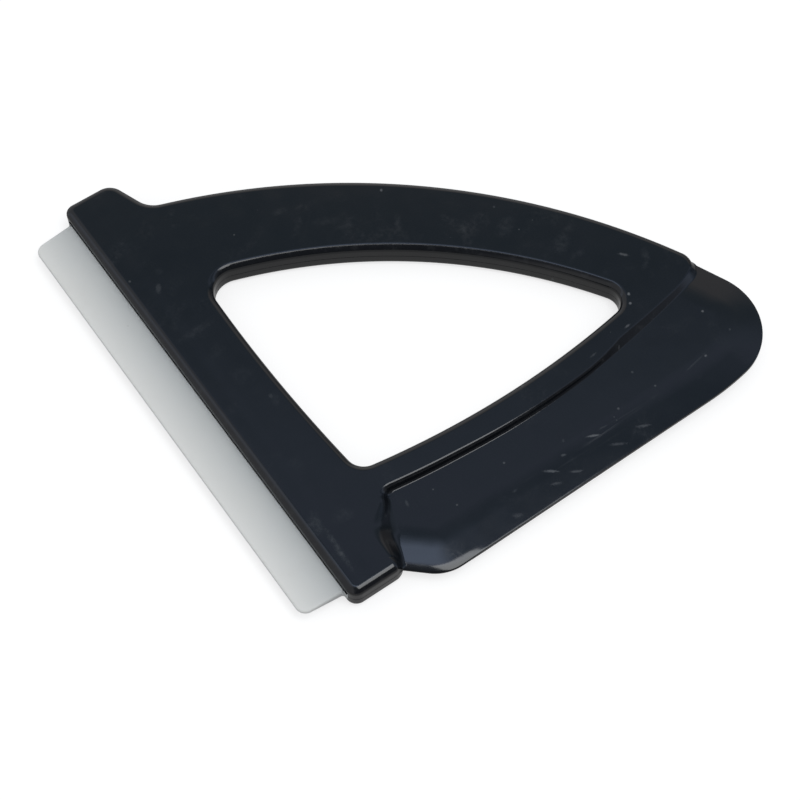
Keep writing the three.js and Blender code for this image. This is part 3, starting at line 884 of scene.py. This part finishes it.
plastic = {
    "tones": ((0.0036, 0.0044, 0.006, 1), (0.0054, 0.0064, 0.0082, 1)),
    "roughness": (0.06, 0.08),  # how much the grain's tone changes it, and its least value
    "layers": {  # colour, how much of it covers the base, and how much rougher it is
        "film": ((0.034, 0.038, 0.042, 1), 0.22, 0.12),
        "smears": ((0.034, 0.038, 0.042, 1), 0.4, 0.1),
        "scrapes": ((0.06, 0.065, 0.07, 1), 0.22, 0.12),
        "wear": ((0.05, 0.053, 0.056, 1), 0.12, 0.05),
        "specks": ((0.16, 0.165, 0.17, 1), 0.3, 0.0),
        "scuffs": ((0.1, 0.107, 0.115, 1), 0.8, 0.3),
    },
    "scuffs": [  # place, turn, length, width and strength of each mark on the upper side
        (76.2, 2.1, -24, 4.0, 0.8, 0.9), (61.2, 0.4, -36, 4.6, 0.9, 0.6),
        (66.5, 2.2, -20, 1.6, 0.8, 0.45), (60.2, -3.0, -26, 3.6, 0.9, 0.22),
        (66.5, -3.2, -28, 4.0, 0.9, 0.32), (80.0, -3.3, -28, 5.2, 0.9, 0.28),
        (88.6, -3.0, -26, 4.4, 0.9, 0.3), (47.0, -4.4, -30, 3.4, 1.6, 0.14),
        (50.5, 1.3, 0, 1.6, 0.8, 0.15), (79.6, 2.6, -5, 2.8, 0.6, 0.2),
        (97.5, 18.6, 45, 1.6, 0.6, 0.3), (116.2, 40.4, -48, 3.4, 1.0, 0.6),
        (103.0, 22.1, 5, 2.4, 0.8, 0.65), (90.2, 20.3, 5, 2.6, 0.7, 0.3),
        (26.2, 14.2, 80, 2.4, 0.9, 0.3), (8.0, 103.4, 60, 3.6, 1.8, 0.24),
        (14.5, 58.6, 70, 1.8, 1.1, 0.2), (111.0, 3.6, 10, 9.0, 0.6, 0.16),
        (122.6, 14.6, 0, 0.9, 0.9, 0.9), (114.6, 3.6, 20, 1.0, 0.8, 0.9),
        (95.9, 10.9, 0, 0.8, 0.7, 0.4), (124.9, 6.1, 40, 0.9, 0.7, 0.3),
        (109.5, 29.7, 60, 1.3, 0.9, 1.2), (108.0, 27.2, 0, 1.0, 0.9, 1.1),
        (74.9, 95.4, 60, 1.2, 0.9, 0.9), (69.0, 5.5, 50, 1.2, 0.8, 0.2),
        (97.0, 73.0, 0, 0.8, 0.8, 0.35),
    ],
    "smears": [
        (104.8, 52.8, 40, 8.5, 4.4, 1.0), (109.0, 55.6, 20, 3.5, 2.4, 0.7),
        (107.3, 47.5, 0, 3.0, 2.4, 0.6), (95.5, 66.0, 30, 8.5, 4.8, 0.8),
        (86.0, 72.2, 50, 4.2, 2.6, 0.8), (72.3, 83.5, 60, 7.0, 2.4, 0.9),
        (60.0, 91.2, -20, 6.0, 2.2, 0.7), (48.0, 105.6, -10, 5.0, 2.6, 0.8),
        (57.0, 95.5, -30, 10.0, 3.0, 0.5), (121.0, 37.0, 70, 5.0, 2.6, 0.9),
        (119.0, 34.5, 30, 4.0, 1.6, 0.7), (9.0, 86.4, 4, 14.0, 2.8, 0.8),
        (11.0, 108.0, 0, 2.6, 2.4, 0.6), (10.0, 78.0, 20, 7.0, 5.0, 0.4),
        (12.0, 68.0, 0, 8.0, 8.0, 0.35), (15.0, 57.0, 60, 5.0, 2.6, 0.6),
        (9.0, 38.0, 80, 6.0, 4.0, 0.35), (10.5, 19.5, -12, 7.0, 4.0, 0.8),
        (3.6, 21.6, 75, 7.4, 3.8, 1.9), (4.4, 12.6, 87, 15.0, 1.9, 2.2),
    ],
    "scraped": (70.0, 1.2, 0, 84.0, 7.0),  # place, turn, length and width of the zone with fine scratches
    "upperFrom": (3.9, 4.2),  # levels between which the marks set in
    "ragged": {"scale": 1700.0, "detail": 4.0},  # the pattern that frays the marks
    "raggedBy": 0.55,
    "speckle": {"scale": 620.0, "detail": 5.0},  # the pattern that breaks up the smears
    "speckleFrom": (0.2, 0.8),
    "grain": {"Scale": 2600.0},
    "film": {"Scale": 75.0, "Amount": 0.2},
    "specks": {"Scale": 420.0, "Amount": 0.05},
    "wear": {"Scale": 420.0},
    "scrapes": {"Turn": 0.0, "Scale": 1500.0, "Stretch": 40.0},
    "waves": {"Scale": 110.0, "Depth": 0.05 * mm},
    "grainDepth": 0.0012,
    "sinkLine": 5.6,  # from the lip's face, above the slot
    "sinkWidth": 3.0,
    "sinkDepth": 0.02,
}
blackPlastic, tree, sockets, coordinates = newMaterial("blackPlastic")
place, facing = coordinates["Object"], coordinates["Normal"]
apart = addNode(tree, "SeparateXYZ", {0: place}).outputs
ragged = calc(tree, "SUBTRACT", noise(tree, place, **plastic["ragged"]), 0.5)
ragged = calc(tree, "MULTIPLY", ragged, plastic["raggedBy"])
upperSide = ease(tree, apart["Z"], *(level * mm for level in plastic["upperFrom"]))


def placedMark(x, y, turn, length, width, uneven):
    sizes = {"Turn": -math.radians(turn), "Length": length * mm, "Width": width * mm}
    where = {"Vector": place, "Place": inFrame((x, y), 0)}
    return useGroup(tree, wornMark, Ragged=uneven, **where, **sizes)["Mask"]


def placedMarks(marks):
    strongest = 0.0
    for *mark, strength in marks:
        mask = calc(tree, "MULTIPLY", placedMark(*mark, ragged), strength)
        strongest = calc(tree, "MAXIMUM", strongest, mask)
    return calc(tree, "MULTIPLY", strongest, upperSide)


speckle = ease(tree, noise(tree, place, **plastic["speckle"]), *plastic["speckleFrom"])
grain = useGroup(tree, fineGrain, Vector=place, **plastic["grain"])
scrapes = useGroup(tree, streaks, Vector=place, **plastic["scrapes"])["Mask"]
scraped = calc(tree, "MULTIPLY", placedMark(*plastic["scraped"], 0.0), upperSide)
masks = {
    "scuffs": placedMarks(plastic["scuffs"]),
    "smears": calc(tree, "MULTIPLY", placedMarks(plastic["smears"]), speckle),
    "film": useGroup(tree, smudges, Vector=place, **plastic["film"])["Mask"],
    "specks": useGroup(tree, dust, Vector=place, **plastic["specks"])["Mask"],
    "wear": useGroup(tree, edgeWear, Vector=place, Normal=facing, **plastic["wear"])["Mask"],
    "scrapes": calc(tree, "MULTIPLY", scrapes, scraped),
}
colour = tint(tree, *plastic["tones"], grain["Tone"])
roughness = calc(tree, "MULTIPLY_ADD", grain["Tone"], *plastic["roughness"])
colour, roughness = layMarks(tree, colour, roughness, masks, plastic["layers"])
feed(tree, colour, sockets["Base Color"])
feed(tree, roughness, sockets["Roughness"])
waves = useGroup(tree, softWaves, Vector=place, **plastic["waves"])["Height"]
fromSink = calc(tree, "SUBTRACT", apart["X"], inFrame((plastic["sinkLine"], 0), 0).x)
sink = ease(tree, calc(tree, "ABSOLUTE", fromSink), 0.0, plastic["sinkWidth"] * mm)
heights = (grain["Height"], plastic["grainDepth"]), (sink, plastic["sinkDepth"])
feed(tree, addHeights(tree, waves, *heights), sockets["Normal"])
for piece in (upperShell, lowerShell):
    piece.data.materials.clear()
    piece.data.materials.append(blackPlastic)
print("plastic", len(tree.nodes), "nodes")

rubber = {
    "tones": [  # painted shade: darker near the bar, which shades the translucent lip, lighter towards the free edge
        (0.0, (0.45, 0.475, 0.48)),
        (0.5, (0.64, 0.655, 0.645)),
        (0.9, (0.77, 0.775, 0.755)),
        (1.0, (0.77, 0.775, 0.76)),
    ],
    "roughness": (0.12, 0.34),
    "layers": {
        "grain": ((0.7, 0.69, 0.64, 1), 0.22, 0.0),
        "film": ((0.5, 0.49, 0.46, 1), 0.12, 0.12),
        "wear": ((0.4, 0.4, 0.38, 1), 0.12, 0.0),
        "specks": ((0.2, 0.2, 0.2, 1), 0.3, 0.0),
    },
    "grain": {"Scale": 1800.0},
    "film": {"Scale": 120.0, "Amount": 0.16},
    "wear": {"Scale": 500.0},
    "specks": {"Scale": 300.0, "Amount": 0.06},
    "drawn": {"Turn": math.radians(90), "Scale": 900.0, "Stretch": 30.0},
    "waves": {"Scale": 90.0, "Depth": 0.08 * mm},
    "grainDepth": 0.004,
    "drawnDepth": 0.002,
    "subsurface": 0.6,
    "scatter": 0.6,  # mm that light spreads inside
}
lipRubber, tree, sockets, coordinates = newMaterial("lipRubber")
sockets["Subsurface Weight"].default_value = rubber["subsurface"]
sockets["Subsurface Radius"].default_value = (1.0, 1.0, 1.0)
sockets["Subsurface Scale"].default_value = rubber["scatter"] * mm
place, facing = coordinates["Object"], coordinates["Normal"]
outwards = addNode(tree, "SeparateXYZ", {0: place}).outputs["X"]
outwards = {"Value": outwards, "From Min": barFoot.x, "From Max": barFoot.x - lip["reach"] * mm}
# painted shade: the lip's colour is darker near the bar, where the bar shades it, and lighter at the free
# edge
paintedShadeTone = colourRamp(tree, addNode(tree, "MapRange", outwards).outputs[0], rubber["tones"])
grain = useGroup(tree, fineGrain, Vector=place, **rubber["grain"])
drawn = useGroup(tree, streaks, Vector=place, **rubber["drawn"])["Mask"]
masks = {
    "grain": grain["Tone"],
    "film": useGroup(tree, smudges, Vector=place, **rubber["film"])["Mask"],
    "wear": useGroup(tree, edgeWear, Vector=place, Normal=facing, **rubber["wear"])["Mask"],
    "specks": useGroup(tree, dust, Vector=place, **rubber["specks"])["Mask"],
}
roughness = calc(tree, "MULTIPLY_ADD", grain["Tone"], *rubber["roughness"])
colour, roughness = layMarks(tree, paintedShadeTone, roughness, masks, rubber["layers"])
feed(tree, colour, sockets["Base Color"])
feed(tree, roughness, sockets["Roughness"])
waves = useGroup(tree, softWaves, Vector=place, **rubber["waves"])["Height"]
heights = (grain["Height"], rubber["grainDepth"]), (drawn, rubber["drawnDepth"])
feed(tree, addHeights(tree, waves, *heights), sockets["Normal"])
wiperLip.data.materials.clear()
wiperLip.data.materials.append(lipRubber)
print("rubber", len(tree.nodes), "nodes")

# Light and floor: one soft lamp overhead, a white floor, and a room that glossy faces reflect.
studio = {
    "softboxPlace": (0.14, -0.31, 1.0),
    "softboxSize": (0.38, 0.62),
    "softboxPower": 3.0,
    "softboxColour": (0.97, 0.99, 1.0),
    "floorSize": 8.0,
    "floorColour": (0.42, 0.42, 0.42, 1),
    "floorGlow": 0.7,  # light added where the camera sees it, up to white
    "floorSeen": 0.42,  # what glossy faces see of it
    "softLight": (0.6, 0.61, 0.63, 1),
    "room": [  # what glossy faces see, from behind the camera to the far side
        (-1.0, (0.1, 0.105, 0.12)),
        (-0.3, (0.1, 0.105, 0.12)),
        (-0.15, (0.2, 0.22, 0.26)),
        (0.0, (0.3, 0.34, 0.42)),
        (0.1, (0.6, 0.72, 0.95)),
        (0.2, (0.36, 0.46, 0.66)),
        (0.25, (0.26, 0.34, 0.48)),
        (0.29, (0.2, 0.28, 0.38)),
        (0.33, (0.2, 0.28, 0.38)),
        (0.41, (0.4, 0.48, 0.66)),
        (0.47, (0.33, 0.42, 0.56)),
        (0.53, (0.2, 0.27, 0.35)),
        (0.575, (0.2, 0.28, 0.35)),
        (0.63, (0.55, 0.54, 0.56)),
        (0.7, (0.6, 0.58, 0.58)),
        (0.9, (0.9, 0.9, 0.9)),
    ],
    "glow": [  # added left of the lamp, beyond its far edge
        (-1.0, (0, 0, 0)),
        (0.05, (0, 0, 0)),
        (0.12, (0.6, 0.7, 1.0)),
        (0.2, (1.15, 1.4, 1.9)),
        (0.245, (0.9, 1.1, 1.5)),
        (0.31, (0, 0, 0)),
        (1.0, (0, 0, 0)),
    ],
    "glowSide": (0.14, 0.0),  # rightness from where to where it sets in
    "farRight": (1.05, 1.3, 1.0, 0.38),  # farness and rightness together, and the strength there
    "left": (-0.12, -0.4, 0.0, 0.8),  # how far a plain grey takes over on the left
    "leftGrey": (0.68, 0.68, 0.7, 1),
}
softbox = bpy.data.lights.new("softbox", "AREA")
softbox.shape = "RECTANGLE"
softbox.size, softbox.size_y = studio["softboxSize"]
softbox.energy = studio["softboxPower"]
softbox.color = studio["softboxColour"]
lamp = bpy.data.objects.new("softbox", softbox)
bpy.context.scene.collection.objects.link(lamp)
lamp.location = studio["softboxPlace"]

bpy.ops.object.select_all(action="DESELECT")
bpy.ops.mesh.primitive_plane_add(size=studio["floorSize"], location=(0, 0, 0))
floor = bpy.context.object
floor.name = floor.data.name = "floor"
paleFloor = bpy.data.materials.new("paleFloor")
paleFloor.use_nodes = True
tree = paleFloor.node_tree
tree.nodes.clear()
path = addNode(tree, "LightPath", {}).outputs
seen = calc(tree, "MAXIMUM", path["Is Camera Ray"], path["Is Transmission Ray"])
matt = addNode(tree, "BsdfDiffuse", {"Color": studio["floorColour"]}).outputs[0]
glow = addNode(tree, "Emission", {"Strength": calc(tree, "MULTIPLY", seen, studio["floorGlow"])}).outputs[0]
both = addNode(tree, "AddShader", {0: matt, 1: glow}).outputs[0]
mirrored = addNode(tree, "Emission", {"Strength": studio["floorSeen"]}).outputs[0]
either = addNode(tree, "MixShader", {0: path["Is Glossy Ray"], 1: both, 2: mirrored}).outputs[0]
addNode(tree, "OutputMaterial", {"Surface": either})
floor.data.materials.append(paleFloor)

room = bpy.data.worlds.new("room")
bpy.context.scene.world = room
room.use_nodes = True
tree = room.node_tree
way = addNode(tree, "TexCoord", {}).outputs["Generated"]
farness = vectorCalc(tree, "DOT_PRODUCT", {0: way, 1: cameraAhead}, "Value")
rightness = vectorCalc(tree, "DOT_PRODUCT", {0: way, 1: cameraRight}, "Value")


def alongRoom(stops):  # a ramp over farness, which goes from -1 to 1
    share = calc(tree, "MULTIPLY_ADD", farness, 0.5, 0.5)
    return colourRamp(tree, share, [((far + 1) / 2, colour) for far, colour in stops])


glowShare = ease(tree, rightness, *studio["glowSide"])
added = vectorCalc(tree, "SCALE", {0: alongRoom(studio["glow"]), "Scale": glowShare})
reflected = vectorCalc(tree, "ADD", {0: alongRoom(studio["room"]), 1: added})
dimming = ease(tree, calc(tree, "ADD", farness, rightness), *studio["farRight"])
reflected = vectorCalc(tree, "SCALE", {0: reflected, "Scale": dimming})
reflected = tint(tree, reflected, studio["leftGrey"], ease(tree, rightness, *studio["left"]))
path = addNode(tree, "LightPath", {}).outputs
colour = tint(tree, studio["softLight"], reflected, path["Is Glossy Ray"])
colour = tint(tree, colour, (1, 1, 1, 1), path["Is Camera Ray"])
feed(tree, colour, tree.nodes["Background"].inputs["Color"])
bpy.context.scene.view_settings.view_transform = "Standard"
print("studio lit")
